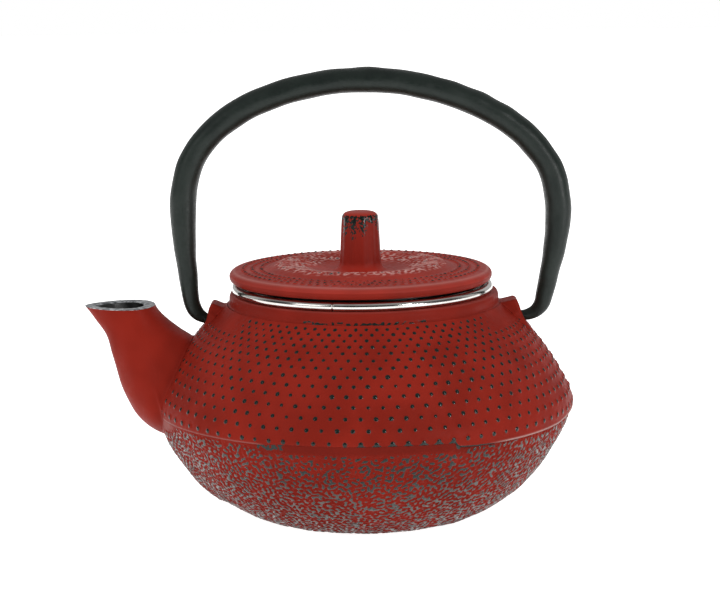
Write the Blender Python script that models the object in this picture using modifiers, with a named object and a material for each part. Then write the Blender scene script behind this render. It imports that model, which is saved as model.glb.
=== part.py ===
"""Cast iron teapot: a low round pot with a spout, a swinging bail, a lid and a steel infuser.

Frame: the origin is the centre of the flat foot, +Z is up, and the spout points to -X.
The bail swings about a line along X through the two lugs.
All sizes are in metres.
"""
from math import cos, pi, sin

import bmesh
import bpy
import numpy as np
from mathutils import Vector

# Driving dimensions
FOOT_R = 0.0274
BELLY_R = 0.0576
BELLY_Z = 0.0304
NECK_R = 0.0379
NECK_Z = 0.0577
COLLAR_TOP_R = 0.0364
COLLAR_TOP_Z = 0.0613
MOUTH_R = 0.0340
WALL = 0.0030
TURN_STEPS = 56
GAP = 0.0003

PIVOT_Z = 0.0534
PIN_R = 0.00135
PIN_TIP_X = 0.0414
LUG_HALF_WIDTH = 0.0042
PIN_REACH_X = 0.0444

INFUSER_X = -0.0004
BEAD_R = 0.0350
BEAD_TUBE_R = 0.00122
BEAD_Z = 0.06288
BAND_R = 0.0330
BAND_BOTTOM_Z = 0.0545
SHEET = 0.0005
BASKET_R = BAND_R - SHEET - GAP
BASKET_TOP_Z = 0.0575
BASKET_BOTTOM_Z = 0.0306
BASE_RING_TOP_Z = BASKET_BOTTOM_Z - GAP
BASE_RING_R = 0.0327
BASE_RING_INNER_R = 0.0300
BASE_RING_HEIGHT = 0.0022

LID_X = -0.0008
LID_R = 0.0363
LID_UNDER_Z = BEAD_Z + BEAD_TUBE_R + GAP
LID_FLANGE_R = 0.0312
LID_FLANGE_WALL = 0.0026
LID_FLANGE_DEPTH = 0.0045
KNOB_R = 0.0054
KNOB_TOP_Z = 0.0832
VENT_R = 0.0009
VENT_X = LID_X + 0.0009
VENT_Y = -0.0082

# The spout in side view: each row is a section across the spout, from its root inside the pot
# to its level mouth: (outer edge x, z), (inner edge x, z), half width.
SPOUT_SECTIONS = (
    ((-0.0530, 0.0200), (-0.0400, 0.0270), 0.0100),
    ((-0.0585, 0.0220), (-0.0400, 0.0330), 0.0160),
    ((-0.0632, 0.0255), (-0.0415, 0.0385), 0.0168),
    ((-0.0667, 0.0312), (-0.0440, 0.0440), 0.0146),
    ((-0.0688, 0.0378), (-0.0473, 0.0482), 0.0122),
    ((-0.0703, 0.0440), (-0.0510, 0.0507), 0.0103),
    ((-0.0721, 0.0495), (-0.0545, 0.0536), 0.0088),
    ((-0.0750, 0.0542), (-0.0567, 0.0558), 0.0080),
    ((-0.0776, 0.0575), (-0.0579, 0.0575), 0.0078),
)
SPOUT_WALL = 0.0030
SPOUT_STEPS = 24

RED = (0.42, 0.022, 0.020)
BLACK = (0.028, 0.032, 0.029)
STEEL = (0.62, 0.60, 0.56)


def clear_scene():
    for item in list(bpy.data.objects):
        bpy.data.objects.remove(item, do_unlink=True)


def make_collection(name):
    group = bpy.data.collections.new(name)
    bpy.context.scene.collection.children.link(group)
    return group


def make_material(name, colour, roughness, metallic):
    material = bpy.data.materials.new(name)
    material.use_nodes = True
    shader = material.node_tree.nodes["Principled BSDF"]
    shader.inputs["Base Color"].default_value = (*colour, 1.0)
    shader.inputs["Roughness"].default_value = roughness
    shader.inputs["Metallic"].default_value = metallic
    return material


def smooth_through(points, per_span):
    """Points along a Catmull-Rom curve through the given points, ends included."""
    knots = [np.array(p, float) for p in points]
    ends = [2 * knots[0] - knots[1]], [2 * knots[-1] - knots[-2]]
    padded = ends[0] + knots + ends[1]
    curve = []
    for a, b, c, d in zip(padded, padded[1:], padded[2:], padded[3:]):
        for step in range(per_span):
            t = step / per_span
            curve.append(0.5 * (2 * b + (c - a) * t + (2 * a - 5 * b + 4 * c - d) * t ** 2
                                + (3 * b - a - 3 * c + d) * t ** 3))
    return curve + [knots[-1]]


def inset(outline, depth):
    """The (radius, z) outline moved to its left by depth, for the inner face of a wall."""
    path = np.array(outline)
    along = np.gradient(path, axis=0)
    along /= np.linalg.norm(along, axis=1)[:, None]
    return path + depth * np.stack([-along[:, 1], along[:, 0]], axis=1)


def arc(centre, radius, start, end, steps):
    """Points (radius, z) on an arc, with angles in degrees."""
    angles = np.radians(np.linspace(start, end, steps + 1))
    return [(centre[0] + radius * cos(a), centre[1] + radius * sin(a)) for a in angles]


def turned(name, profile, group, material=None, closed=False, at=(0.0, 0.0, 0.0)):
    """A profile of (radius, z) points turned about a vertical axis with a Screw modifier."""
    mesh = bpy.data.meshes.new(name)
    count = len(profile)
    edges = [(i, i + 1) for i in range(count - 1)] + ([(count - 1, 0)] if closed else [])
    mesh.from_pydata([(float(r), 0.0, float(z)) for r, z in profile], edges, [])
    item = bpy.data.objects.new(name, mesh)
    item.location = at
    group.objects.link(item)
    screw = item.modifiers.new("Turn", "SCREW")
    screw.steps = TURN_STEPS
    screw.render_steps = TURN_STEPS
    screw.use_merge_vertices = True
    screw.merge_threshold = 0.00001
    screw.use_smooth_shade = True
    if material:
        mesh.materials.append(material)
    return item


def lofted(name, rings, group, material=None):
    """A closed skin over rings of points, all with the same number of points."""
    shape = bmesh.new()
    rows = [[shape.verts.new(point) for point in ring] for ring in rings]
    for low, high in zip(rows, rows[1:]):
        for i in range(len(low)):
            j = (i + 1) % len(low)
            shape.faces.new((low[i], low[j], high[j], high[i]))
    shape.faces.new(list(reversed(rows[0])))
    shape.faces.new(rows[-1])
    bmesh.ops.recalc_face_normals(shape, faces=shape.faces)
    mesh = bpy.data.meshes.new(name)
    shape.to_mesh(mesh)
    shape.free()
    mesh.shade_smooth()
    item = bpy.data.objects.new(name, mesh)
    group.objects.link(item)
    if material:
        mesh.materials.append(material)
    return item


def boolean(item, cutter, operation):
    cut = item.modifiers.new(cutter.name, "BOOLEAN")
    cut.operation = operation
    cut.solver = "EXACT"
    cut.object = cutter
    cutter.hide_render = True
    cutter.display_type = "WIRE"


def pot_outline():
    """The outer side of the pot from the edge of the foot up to the neck: (radius, z)."""
    knots = [(FOOT_R, 0.0), (0.0331, 0.0007), (0.0400, 0.0044), (0.0476, 0.0113),
             (0.0542, 0.0213), (BELLY_R, BELLY_Z), (0.0550, 0.0373), (0.0489, 0.0467),
             (0.0420, 0.0537), (NECK_R, NECK_Z)]
    return smooth_through(knots, 2)


def pot_solid(group, material):
    side = pot_outline()
    collar = [(0.0373, 0.0598), (0.0370, 0.0609), (COLLAR_TOP_R, COLLAR_TOP_Z),
              (MOUTH_R - 0.002, COLLAR_TOP_Z)]
    profile = [(0.0, COLLAR_TOP_Z)] + collar[::-1] + side[::-1] + [(0.0, 0.0)]
    return turned("pot_body", profile, group, material)


def cavity_cutter(group):
    """The hollow of the pot: the wall's inner side, and the mouth carried up past the rim."""
    inner = inset(pot_outline(), WALL)
    rising = [p for p in inner if p[1] > WALL and p[0] > MOUTH_R * 0.8 and p[1] < 0.0545]
    profile = [(0.0, COLLAR_TOP_Z + 0.003), (MOUTH_R, COLLAR_TOP_Z + 0.003), (MOUTH_R, 0.0572)]
    profile += rising[::-1] + [(0.0, WALL)]
    return turned("cavity_cutter", profile, group)


def spout_rings(shrink, reach):
    """Oval rings along the spout, shrunk by a wall and carried up by reach past the mouth."""
    outer = smooth_through([s[0] for s in SPOUT_SECTIONS], 2)
    inner = smooth_through([s[1] for s in SPOUT_SECTIONS], 2)
    widths = smooth_through([(s[2], 0.0) for s in SPOUT_SECTIONS], 2)
    rings = []
    for low, high, width in zip(outer, inner, widths):
        middle = (low + high) / 2
        half = (low - high) / 2
        length = np.linalg.norm(half)
        half = half * (length - shrink) / length
        ring = []
        for i in range(SPOUT_STEPS):
            turn = 2 * pi * i / SPOUT_STEPS
            centre = middle + half * cos(turn)
            ring.append((centre[0], (width[0] - shrink) * sin(turn), centre[1]))
        rings.append(ring)
    if reach:
        rings.append([(x, y, z + reach) for x, y, z in rings[-1]])
    return rings


def lug(side, group):
    """An ear cast on the shoulder: a wedge whose outer face leans in, with rounded edges."""
    outline = [(0.0366, 0.0560), (0.0366, 0.0575), (0.0384, 0.0579), (0.0413, 0.0585),
               (0.0421, 0.0583), (0.0425, 0.0578), (0.0446, 0.0520), (0.0462, 0.0495),
               (0.0440, 0.0480)]
    shape = bmesh.new()
    corners = [shape.verts.new((side * x, -LUG_HALF_WIDTH, z)) for x, z in outline]
    face = shape.faces.new(corners)
    swept = bmesh.ops.extrude_face_region(shape, geom=[face])["geom"]
    moved = [v for v in swept if isinstance(v, bmesh.types.BMVert)]
    bmesh.ops.translate(shape, verts=moved, vec=(0.0, 2 * LUG_HALF_WIDTH, 0.0))
    bmesh.ops.recalc_face_normals(shape, faces=shape.faces)
    name = "lug_left" if side < 0 else "lug_right"
    mesh = bpy.data.meshes.new(name)
    shape.to_mesh(mesh)
    shape.free()
    item = bpy.data.objects.new(name, mesh)
    group.objects.link(item)
    rounding = item.modifiers.new("Round", "BEVEL")
    rounding.width = 0.0009
    rounding.segments = 2
    rounding.angle_limit = 1.0
    return item


def pin_hole_cutter(side, group):
    """The blind hole in a lug for the bail's pin."""
    length = 0.0064
    shape = bmesh.new()
    bmesh.ops.create_cone(shape, cap_ends=True, segments=24, radius1=PIN_R + GAP,
                          radius2=PIN_R + GAP, depth=length)
    name = "pin_hole_left" if side < 0 else "pin_hole_right"
    mesh = bpy.data.meshes.new(name)
    shape.to_mesh(mesh)
    shape.free()
    item = bpy.data.objects.new(name, mesh)
    item.rotation_euler = (0.0, pi / 2, 0.0)
    item.location = (side * (PIN_TIP_X - GAP + length / 2), 0.0, PIVOT_Z)
    group.objects.link(item)
    return item


def build_pot(group, cutters, material):
    pot = pot_solid(group, material)
    spout = lofted("spout_outside", spout_rings(0.0, 0.0), cutters)
    channel = lofted("spout_channel", spout_rings(SPOUT_WALL, 0.002), cutters)
    boolean(pot, spout, "UNION")
    for side in (-1, 1):
        boolean(pot, lug(side, cutters), "UNION")
    boolean(pot, cavity_cutter(cutters), "DIFFERENCE")
    boolean(pot, channel, "DIFFERENCE")
    for side in (-1, 1):
        boolean(pot, pin_hole_cutter(side, cutters), "DIFFERENCE")
    return pot


def bail_centreline():
    """The bail from pin to pin: (x, z, thickness, breadth). The right leg leans out further."""
    left = [(-0.0456, 0.0537, 0.0031, 0.0032), (-0.0469, 0.0549, 0.0036, 0.0042),
            (-0.0476, 0.0565, 0.0041, 0.0051), (-0.0480, 0.0586, 0.0044, 0.0060),
            (-0.0485, 0.0635, 0.0050, 0.0070), (-0.0491, 0.0705, 0.0057, 0.0079),
            (-0.0496, 0.0775, 0.0066, 0.0085), (-0.0496, 0.0835, 0.0071, 0.0088)]
    arch = [(-0.0489, 0.0908, 0.0073, 0.0088), (-0.0467, 0.0978, 0.0072, 0.0088),
            (-0.0420, 0.1042, 0.0071, 0.0088), (-0.0335, 0.1109, 0.0071, 0.0088),
            (-0.0225, 0.1155, 0.0070, 0.0088), (-0.0108, 0.1182, 0.0069, 0.0088),
            (0.0005, 0.1191, 0.0069, 0.0088), (0.0120, 0.1181, 0.0069, 0.0088),
            (0.0240, 0.1152, 0.0069, 0.0088), (0.0346, 0.1107, 0.0070, 0.0088),
            (0.0433, 0.1049, 0.0071, 0.0088), (0.0495, 0.0981, 0.0071, 0.0088),
            (0.0527, 0.0914, 0.0072, 0.0088)]
    right = [(0.0539, 0.0838, 0.0072, 0.0088), (0.0536, 0.0772, 0.0067, 0.0085),
             (0.0527, 0.0709, 0.0060, 0.0079), (0.0515, 0.0649, 0.0053, 0.0072),
             (0.0502, 0.0596, 0.0047, 0.0062), (0.0494, 0.0568, 0.0043, 0.0053),
             (0.0482, 0.0547, 0.0036, 0.0042), (0.0466, 0.0537, 0.0032, 0.0035),
             (0.0452, 0.0534, 0.0029, 0.0030)]
    pin = 2 * PIN_R
    pins = [(x, PIVOT_Z, pin, pin) for x in (-PIN_TIP_X, -PIN_REACH_X, PIN_REACH_X, PIN_TIP_X)]
    return pins[:1] + smooth_through([pins[1]] + left + arch + right + [pins[2]], 2) + pins[3:]


def build_bail(group, material):
    """A bar of oval section swept along the bail, with straight round pins in the lugs."""
    line = bail_centreline()
    path = np.array([(x, z) for x, z, thick, broad in line])
    along = np.gradient(path, axis=0)
    along[[0, -1]] = (-1.0, 0.0)
    pivot = Vector((0.0, 0.0, PIVOT_Z))
    sides = 18
    rings = []
    for (x, z, thick, broad), (dx, dz) in zip(line, along):
        size = (dx * dx + dz * dz) ** 0.5
        across = (-dz / size, dx / size)
        ring = []
        for i in range(sides):
            turn = 2 * pi * i / sides
            out = thick / 2 * cos(turn)
            ring.append(Vector((x + across[0] * out, broad / 2 * sin(turn), z + across[1] * out))
                        - pivot)
        rings.append(ring)
    bail = lofted("handle", rings, group, material)
    bail.location = pivot
    return bail


def lid_profile():
    """The lid from the top of its knob, over the rim and back under: (radius, z)."""
    knob = [(0.0, KNOB_TOP_Z), (0.0025, KNOB_TOP_Z - 0.0001), (0.0043, KNOB_TOP_Z - 0.0005),
            (0.0051, KNOB_TOP_Z - 0.0013), (KNOB_R, KNOB_TOP_Z - 0.003), (0.0057, 0.0692),
            (0.0061, 0.0678), (0.0074, 0.0672)]
    disc = [(0.0120, 0.0672), (0.0170, 0.0680), (0.0208, 0.0689), (0.0238, 0.0686),
            (0.0265, 0.0675), (0.0330, 0.0669), (0.0344, 0.0669), (0.0353, 0.0676),
            (0.0360, 0.0673), (LID_R, 0.0665), (0.0362, 0.0657), (0.0356, LID_UNDER_Z)]
    flange_z = LID_UNDER_Z - LID_FLANGE_DEPTH
    under = [(LID_FLANGE_R, LID_UNDER_Z), (LID_FLANGE_R, flange_z + 0.0006),
             (LID_FLANGE_R - 0.0006, flange_z), (LID_FLANGE_R - LID_FLANGE_WALL, flange_z),
             (LID_FLANGE_R - LID_FLANGE_WALL, LID_UNDER_Z), (0.0215, 0.0659), (0.0100, 0.0646),
             (0.0, 0.0646)]
    return knob + disc + under


def build_lid(group, cutters, material):
    lid = turned("lid", lid_profile(), group, material, at=(LID_X, 0.0, 0.0))
    shape = bmesh.new()
    bmesh.ops.create_cone(shape, cap_ends=True, segments=16, radius1=VENT_R, radius2=VENT_R,
                          depth=0.01)
    mesh = bpy.data.meshes.new("vent_cutter")
    shape.to_mesh(mesh)
    shape.free()
    vent = bpy.data.objects.new("vent_cutter", mesh)
    vent.location = (VENT_X, VENT_Y, 0.0655)
    cutters.objects.link(vent)
    boolean(lid, vent, "DIFFERENCE")
    return lid


def build_infuser(group, steel, mesh_steel):
    at = (INFUSER_X, 0.0, 0.0)
    bead = arc((BEAD_R, BEAD_Z), BEAD_TUBE_R, 90, -270, 10)[:-1]
    turned("infuser_rim", bead, group, steel, closed=True, at=at)

    lip_top = BEAD_Z + SHEET / 2
    lip_r = BEAD_R - BEAD_TUBE_R - GAP
    band = [(lip_r, lip_top), (lip_r, lip_top - SHEET), (BAND_R + 0.0004, lip_top - SHEET),
            (BAND_R, lip_top - SHEET - 0.0004), (BAND_R, BAND_BOTTOM_Z),
            (BAND_R - SHEET, BAND_BOTTOM_Z), (BAND_R - SHEET, lip_top - 0.0004),
            (BAND_R - SHEET + 0.0004, lip_top)]
    turned("infuser_collar", band, group, steel, closed=True, at=at)

    wall = [(BASKET_R, BASKET_TOP_Z), (BASKET_R, BASKET_BOTTOM_Z),
            (BASKET_R - SHEET, BASKET_BOTTOM_Z), (BASKET_R - SHEET, BASKET_TOP_Z)]
    turned("infuser_wall", wall, group, mesh_steel, closed=True, at=at)

    low = BASE_RING_TOP_Z - BASE_RING_HEIGHT
    edge = 0.0005
    ring = [(BASE_RING_R - edge, BASE_RING_TOP_Z), (BASE_RING_R, BASE_RING_TOP_Z - edge),
            (BASE_RING_R, low + edge), (BASE_RING_R - edge, low),
            (BASE_RING_INNER_R, low), (BASE_RING_INNER_R, BASE_RING_TOP_Z)]
    turned("infuser_base_ring", ring, group, steel, closed=True, at=at)

    middle = (low + BASE_RING_TOP_Z) / 2
    disc_r = BASE_RING_INNER_R - GAP
    disc = [(0.0, middle + SHEET / 2), (disc_r, middle + SHEET / 2),
            (disc_r, middle - SHEET / 2), (0.0, middle - SHEET / 2)]
    turned("infuser_base", disc, group, mesh_steel, at=at)


def main():
    clear_scene()
    parts = make_collection("teapot")
    cutters = make_collection("cutters")
    red_pot = make_material("pot_enamel", RED, 0.42, 0.0)
    red_lid = make_material("lid_enamel", RED, 0.42, 0.0)
    black = make_material("bail_black", BLACK, 0.45, 0.3)
    steel = make_material("infuser_steel", STEEL, 0.18, 1.0)
    mesh_steel = make_material("infuser_mesh", STEEL, 0.35, 1.0)
    build_pot(parts, cutters, red_pot)
    build_bail(parts, black)
    build_lid(parts, cutters, red_lid)
    build_infuser(parts, steel, mesh_steel)


main()
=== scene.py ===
"""Visual model of a small red cast iron teapot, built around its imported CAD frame.

Shapes are worked out in millimetres in the frame of the CAD: the origin is the centre of the
foot, +Z is up and the spout points to -X. Angles round the pot are measured from the -Y side
towards +X, so a point is (r sin a, -r cos a, z).
"""

from math import cos, pi, radians, sin

import bmesh
import bpy
import numpy as np
from mathutils import Matrix, Vector
from mathutils.kdtree import KDTree


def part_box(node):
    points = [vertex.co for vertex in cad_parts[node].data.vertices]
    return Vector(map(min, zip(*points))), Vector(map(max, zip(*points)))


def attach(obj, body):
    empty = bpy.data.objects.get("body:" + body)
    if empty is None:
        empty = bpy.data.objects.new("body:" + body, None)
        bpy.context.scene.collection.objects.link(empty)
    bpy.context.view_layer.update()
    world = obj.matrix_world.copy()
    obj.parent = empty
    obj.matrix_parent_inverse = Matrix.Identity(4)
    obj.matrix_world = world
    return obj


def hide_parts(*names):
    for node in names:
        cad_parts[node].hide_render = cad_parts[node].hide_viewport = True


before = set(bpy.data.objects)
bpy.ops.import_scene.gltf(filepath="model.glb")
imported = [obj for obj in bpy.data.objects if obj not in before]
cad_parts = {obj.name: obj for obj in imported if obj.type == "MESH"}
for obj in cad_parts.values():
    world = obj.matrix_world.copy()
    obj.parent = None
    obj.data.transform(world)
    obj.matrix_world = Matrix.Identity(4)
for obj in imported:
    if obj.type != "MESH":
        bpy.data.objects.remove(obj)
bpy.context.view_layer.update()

MM = 0.001


def millimetres(node):
    """The lowest and highest corners of a CAD node, in millimetres."""
    low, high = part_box(node)
    return np.array(low) / MM, np.array(high) / MM


LID_LOW, LID_HIGH = millimetres("lid")
BEAD_LOW, BEAD_HIGH = millimetres("infuser_rim")
BAND_LOW, BAND_HIGH = millimetres("infuser_collar")
WALL_LOW, WALL_HIGH = millimetres("infuser_wall")
RING_LOW, RING_HIGH = millimetres("infuser_base_ring")
BASE_LOW, BASE_HIGH = millimetres("infuser_base")

# The pot's side from the edge of the foot to the neck: (radius, z)
POT_KNOTS = ((27.4, 0.0), (33.1, 0.7), (40.0, 4.4), (47.6, 11.3), (54.2, 21.3), (57.6, 30.4),
             (55.0, 37.3), (48.9, 46.7), (42.0, 53.7), (37.9, 57.7))
POT_WALL = 3.0
POT_COLLAR_TOP = 60.95
MOUTH_R = 34.0

# The pot's nubs, with the lowest ring's sizes. From the ring numbered FADING_RINGS they die out.
NUBS_PER_RING = 90
NUB_RINGS = 14
LOWEST_RING_Z = 30.9
NUB_FOOT_R = 1.02
NUB_HEIGHTS = (0.33, 0.42)
NUB_WORN_R = 0.56
FADING_RINGS = 11

# The spout's sections, each in the plane y = 0: outer edge (x, z), inner edge (x, z), half width
SPOUT_SECTIONS = (
    ((-53.0, 20.0), (-40.0, 27.0), 10.0),
    ((-58.2, 22.4), (-40.0, 33.0), 16.0),
    ((-62.9, 25.8), (-41.5, 38.5), 16.8),
    ((-66.5, 31.3), (-44.2, 43.8), 14.6),
    ((-68.8, 37.8), (-47.5, 47.9), 12.2),
    ((-70.4, 44.0), (-51.2, 50.4), 10.3),
    ((-72.1, 49.5), (-54.8, 53.3), 8.8),
    ((-75.1, 54.1), (-57.0, 55.6), 8.3),
    ((-77.6, 57.5), (-58.2, 57.5), 8.5),
)
SPOUT_WALL = 3.0
SPOUT_PER_SPAN = 16
SPOUT_COLUMNS = 200

LID_X = (LID_LOW[0] + LID_HIGH[0]) / 2
LID_UNDER_Z = 64.0
LID_FLANGE_R = 31.2
VENT = (LID_X + 0.9, -8.2)
VENT_R = 0.85
VENT_DEPTH = 3.0
INFUSER_X = (BEAD_LOW[0] + BEAD_HIGH[0]) / 2

# Skins that cross are cut away this far inside each other
BURIED = 1.5
SKIN_BURIED = 1.6
# A filleted skin runs out this far below the pot's side
SINK = 0.05


# ---- Shape helpers ----

def through(knots, per_span):
    """Points along a Catmull-Rom curve through the knots, ends included."""
    knots = np.array(knots, float)
    padded = np.vstack([2 * knots[0] - knots[1], knots, 2 * knots[-1] - knots[-2]])
    t = (np.arange(per_span) / per_span)[:, None]
    parts = []
    for a, b, c, d in zip(padded, padded[1:], padded[2:], padded[3:]):
        parts.append(0.5 * (2 * b + (c - a) * t + (2 * a - 5 * b + 4 * c - d) * t ** 2
                            + (3 * b - a - 3 * c + d) * t ** 3))
    return np.vstack(parts + [knots[-1:]])


def lengths(path):
    """Distance along a path at each of its points."""
    return np.concatenate([[0.0], np.cumsum(np.linalg.norm(np.diff(path, axis=0), axis=1))])


def evenly(path, count):
    """The same path as points at even distances."""
    along = lengths(path)
    where = np.linspace(0, along[-1], count)
    return np.stack([np.interp(where, along, path[:, k]) for k in range(path.shape[1])], axis=-1)


def turned(path, angles, x=0.0):
    """A (radius, z) path turned about the vertical: an array of rows, columns, 3."""
    r = path[:, 0][:, None]
    z = np.broadcast_to(path[:, 1][:, None], (len(path), len(angles)))
    return np.stack([x + r * np.sin(angles), -r * np.cos(angles), z], axis=-1)


def circle_angles(count):
    return np.arange(count) * 2 * pi / count


def degrees_round(angle):
    """An angle round the pot in degrees from -180 to 180; 0 is the front."""
    return np.degrees((angle + pi) % (2 * pi) - pi)


def grid_normals(grid, closed=True):
    """Unit normals of a grid, pointing out where its rows climb and its angles grow."""
    if closed:
        across = np.roll(grid, -1, axis=1) - np.roll(grid, 1, axis=1)
    else:
        across = np.gradient(grid, axis=1)
    up = np.gradient(grid, axis=0)
    n = np.cross(across, up)
    return n / np.maximum(np.linalg.norm(n, axis=-1, keepdims=True), 1e-9)


def smooth_step(low, high, value):
    """Eases from 0 at low to 1 at high; low may be the greater of the two."""
    t = np.clip((value - low) / (high - low), 0.0, 1.0)
    return t * t * (3 - 2 * t)


def worm_field(points, wavelength, seed, waves=70, spread=0.18):
    """A random field of one grain size and about unit strength: a sum of waves."""
    rng = np.random.default_rng(seed)
    total = np.zeros(points.shape[:-1])
    for _ in range(waves):
        direction = rng.normal(size=3)
        direction /= np.linalg.norm(direction)
        number = 2 * pi / (wavelength * rng.uniform(1 - spread, 1 + spread))
        total += np.cos(points @ (direction * number) + rng.uniform(0, 2 * pi))
    return total * (2 / waves) ** 0.5


def into_scene(name, data):
    item = bpy.data.objects.new(name, data)
    bpy.context.scene.collection.objects.link(item)
    return item


def mesh_object(name, points, faces, fields=None, normals=None):
    """A smooth mesh object from millimetre points and an (n, 4) array of quads.

    fields gives named values at the points, which the materials read.
    """
    used = np.unique(faces)
    place = np.full(len(points), -1)
    place[used] = np.arange(len(used))
    quads = place[faces]
    mesh = bpy.data.meshes.new(name)
    mesh.vertices.add(len(used))
    mesh.vertices.foreach_set("co", (points[used] * MM).astype(np.float32).ravel())
    mesh.loops.add(quads.size)
    mesh.loops.foreach_set("vertex_index", quads.astype(np.int32).ravel())
    mesh.polygons.add(len(quads))
    mesh.polygons.foreach_set("loop_start", np.arange(0, quads.size, 4, dtype=np.int32))
    mesh.update(calc_edges=True)
    for field, values in (fields or {}).items():
        layer = mesh.attributes.new(field, "FLOAT", "POINT")
        layer.data.foreach_set("value", values.reshape(-1)[used].astype(np.float32))
    mesh.shade_smooth()
    if normals is not None:
        mesh.normals_split_custom_set_from_vertices(normals.reshape(-1, 3)[used].tolist())
    return into_scene(name, mesh)


def grid_quads(rows, columns, closed=True, flip=False):
    """Quads of a grid of points. A closed grid's last column joins its first."""
    spans = columns if closed else columns - 1
    j, i = np.meshgrid(np.arange(rows - 1), np.arange(spans), indexing="ij")
    k = (i + 1) % columns
    quads = np.stack([j * columns + i, j * columns + k, (j + 1) * columns + k,
                      (j + 1) * columns + i], axis=-1).reshape(-1, 4)
    return quads[:, ::-1] if flip else quads


def looped_quads(rows, columns):
    """Quads of a grid that closes on itself both ways."""
    return grid_quads(rows + 1, columns) % (rows * columns)


def grid_object(name, grid, fields=None, closed=True, flip=False, keep=None, normals=None):
    """A smooth object over a grid of points. keep says which grid points may carry faces."""
    rows, columns = grid.shape[:2]
    quads = grid_quads(rows, columns, closed, flip)
    if keep is not None:
        quads = quads[keep.reshape(-1)[quads].all(axis=1)]
    spread = {field: np.broadcast_to(values, (rows, columns)) for field, values in (fields or {}).items()}
    return mesh_object(name, grid.reshape(-1, 3), quads, spread, normals)


def banded(names, grid, fields, keep):
    """The pot's side as bands of rows of one grid, each its own piece, shaded as a whole."""
    normals = grid_normals(grid)
    cuts = np.linspace(0, len(grid) - 1, len(names) + 1).astype(int)
    pieces = []
    for name, low, high in zip(names, cuts, cuts[1:]):
        rows = slice(low, high + 1)
        shares = {field: values[rows] for field, values in fields.items()}
        item = grid_object(name, grid[rows], shares, keep=keep[rows], normals=normals[rows])
        pieces.append(finish_piece(item, "pot", POT_RED, "pot_enamel"))
    return pieces


def weld(item, distance=1e-7):
    """Joins points that lie on each other, such as those of a row at the axis."""
    shape = bmesh.new()
    shape.from_mesh(item.data)
    bmesh.ops.remove_doubles(shape, verts=shape.verts, dist=distance)
    bmesh.ops.dissolve_degenerate(shape, edges=shape.edges, dist=distance)
    shape.to_mesh(item.data)
    shape.free()
    return item


def finish_piece(item, body, material, slot, *nodes):
    """Gives a piece its material and body, and hides the CAD nodes that it stands for. The slot is not used.
    """
    item.data.materials.clear()
    item.data.materials.append(material)
    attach(item, body)
    if nodes:
        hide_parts(*nodes)
    return item


# ---- Materials ----

def node(tree, kind, inputs=None, **settings):
    """A shader node with its settings and inputs; an input that is a socket is linked."""
    item = tree.nodes.new(kind)
    for key, value in settings.items():
        setattr(item, key, value)
    for key, value in (inputs or {}).items():
        if isinstance(value, bpy.types.NodeSocket):
            tree.links.new(value, item.inputs[key])
        else:
            item.inputs[key].default_value = value
    return item


def new_material(name):
    material = bpy.data.materials.new(name)
    material.use_nodes = True
    tree = material.node_tree
    return material, tree, tree.nodes["Principled BSDF"]


def feed(shader, name, socket):
    shader.id_data.links.new(socket, shader.inputs[name])


def place_of(tree):
    return node(tree, "ShaderNodeTexCoord").outputs["Object"]


def noise(tree, place, scale, detail=3.0, rough=0.55):
    inputs = {"Vector": place, "Scale": scale, "Detail": detail, "Roughness": rough}
    return node(tree, "ShaderNodeTexNoise", inputs).outputs["Fac"]


def remap(tree, value, low, high, to_low=0.0, to_high=1.0):
    """Eases from to_low to to_high as the value goes from low to high."""
    inputs = {"Value": value, "From Min": low, "From Max": high, "To Min": to_low, "To Max": to_high}
    return node(tree, "ShaderNodeMapRange", inputs, interpolation_type="SMOOTHSTEP").outputs["Result"]


def maths(tree, operation, a, b):
    return node(tree, "ShaderNodeMath", {0: a, 1: b}, operation=operation).outputs[0]


def blended(tree, factor, first, second):
    """Mix of two colours, each a tuple or a socket."""
    inputs = {0: factor}
    for slot, colour in ((6, first), (7, second)):
        inputs[slot] = (*colour, 1.0) if isinstance(colour, tuple) else colour
    return node(tree, "ShaderNodeMix", inputs, data_type="RGBA").outputs[2]


def mixed(tree, factor, first, second):
    """Mix of two plain values, each a number or a socket."""
    return node(tree, "ShaderNodeMix", {0: factor, 2: first, 3: second}).outputs[0]


def stretched(tree, place, scale):
    return node(tree, "ShaderNodeMapping", {"Vector": place, "Scale": scale}).outputs[0]


def field_of(tree, name):
    return node(tree, "ShaderNodeAttribute", attribute_name=name).outputs["Fac"]


def bump(tree, height, strength, distance):
    inputs = {"Height": height, "Strength": strength, "Distance": distance}
    return node(tree, "ShaderNodeBump", inputs).outputs["Normal"]


# Enamel: the two tones that cloud into each other, the pale tone that paints highlights and sheen, and the
# dark tone that paints shade
RED_DEEP = (0.250, 0.0170, 0.0090)
RED_MAIN = (0.315, 0.0215, 0.0115)
RED_SHEEN = (0.60, 0.38, 0.35)
# A darker red that paints shade
RED_SHADE = (0.150, 0.013, 0.008)
# The lid's tones are the pot's made brighter: painted light for the lid's brighter top
LID_DEEP_LIT = (0.325, 0.0230, 0.0125)
LID_MAIN_LIT = (0.410, 0.0285, 0.0160)
LID_SHEEN = (0.66, 0.34, 0.31)
# The iron that shows where enamel is worn through, and the pale tone of polished iron that also paints glints
IRON = (0.003, 0.009, 0.007)
IRON_PALE = (0.014, 0.028, 0.023)
IRON_BARE_GLINT = (0.175, 0.167, 0.150)
IRON_ROUGHNESS = 0.24
LINING_TONES = ((0.010, 0.011, 0.011), (0.022, 0.023, 0.022))
BAIL_TONES = ((0.008, 0.014, 0.0115), (0.014, 0.022, 0.018))
STEEL_TONES = ((0.60, 0.585, 0.555), (0.72, 0.705, 0.68))
GROUND_TONES = ((0.16, 0.17, 0.18), (0.66, 0.68, 0.70))
FLOOR_TONE = (0.9, 0.9, 0.9)
WHITE = (1.0, 1.0, 1.0)


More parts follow.
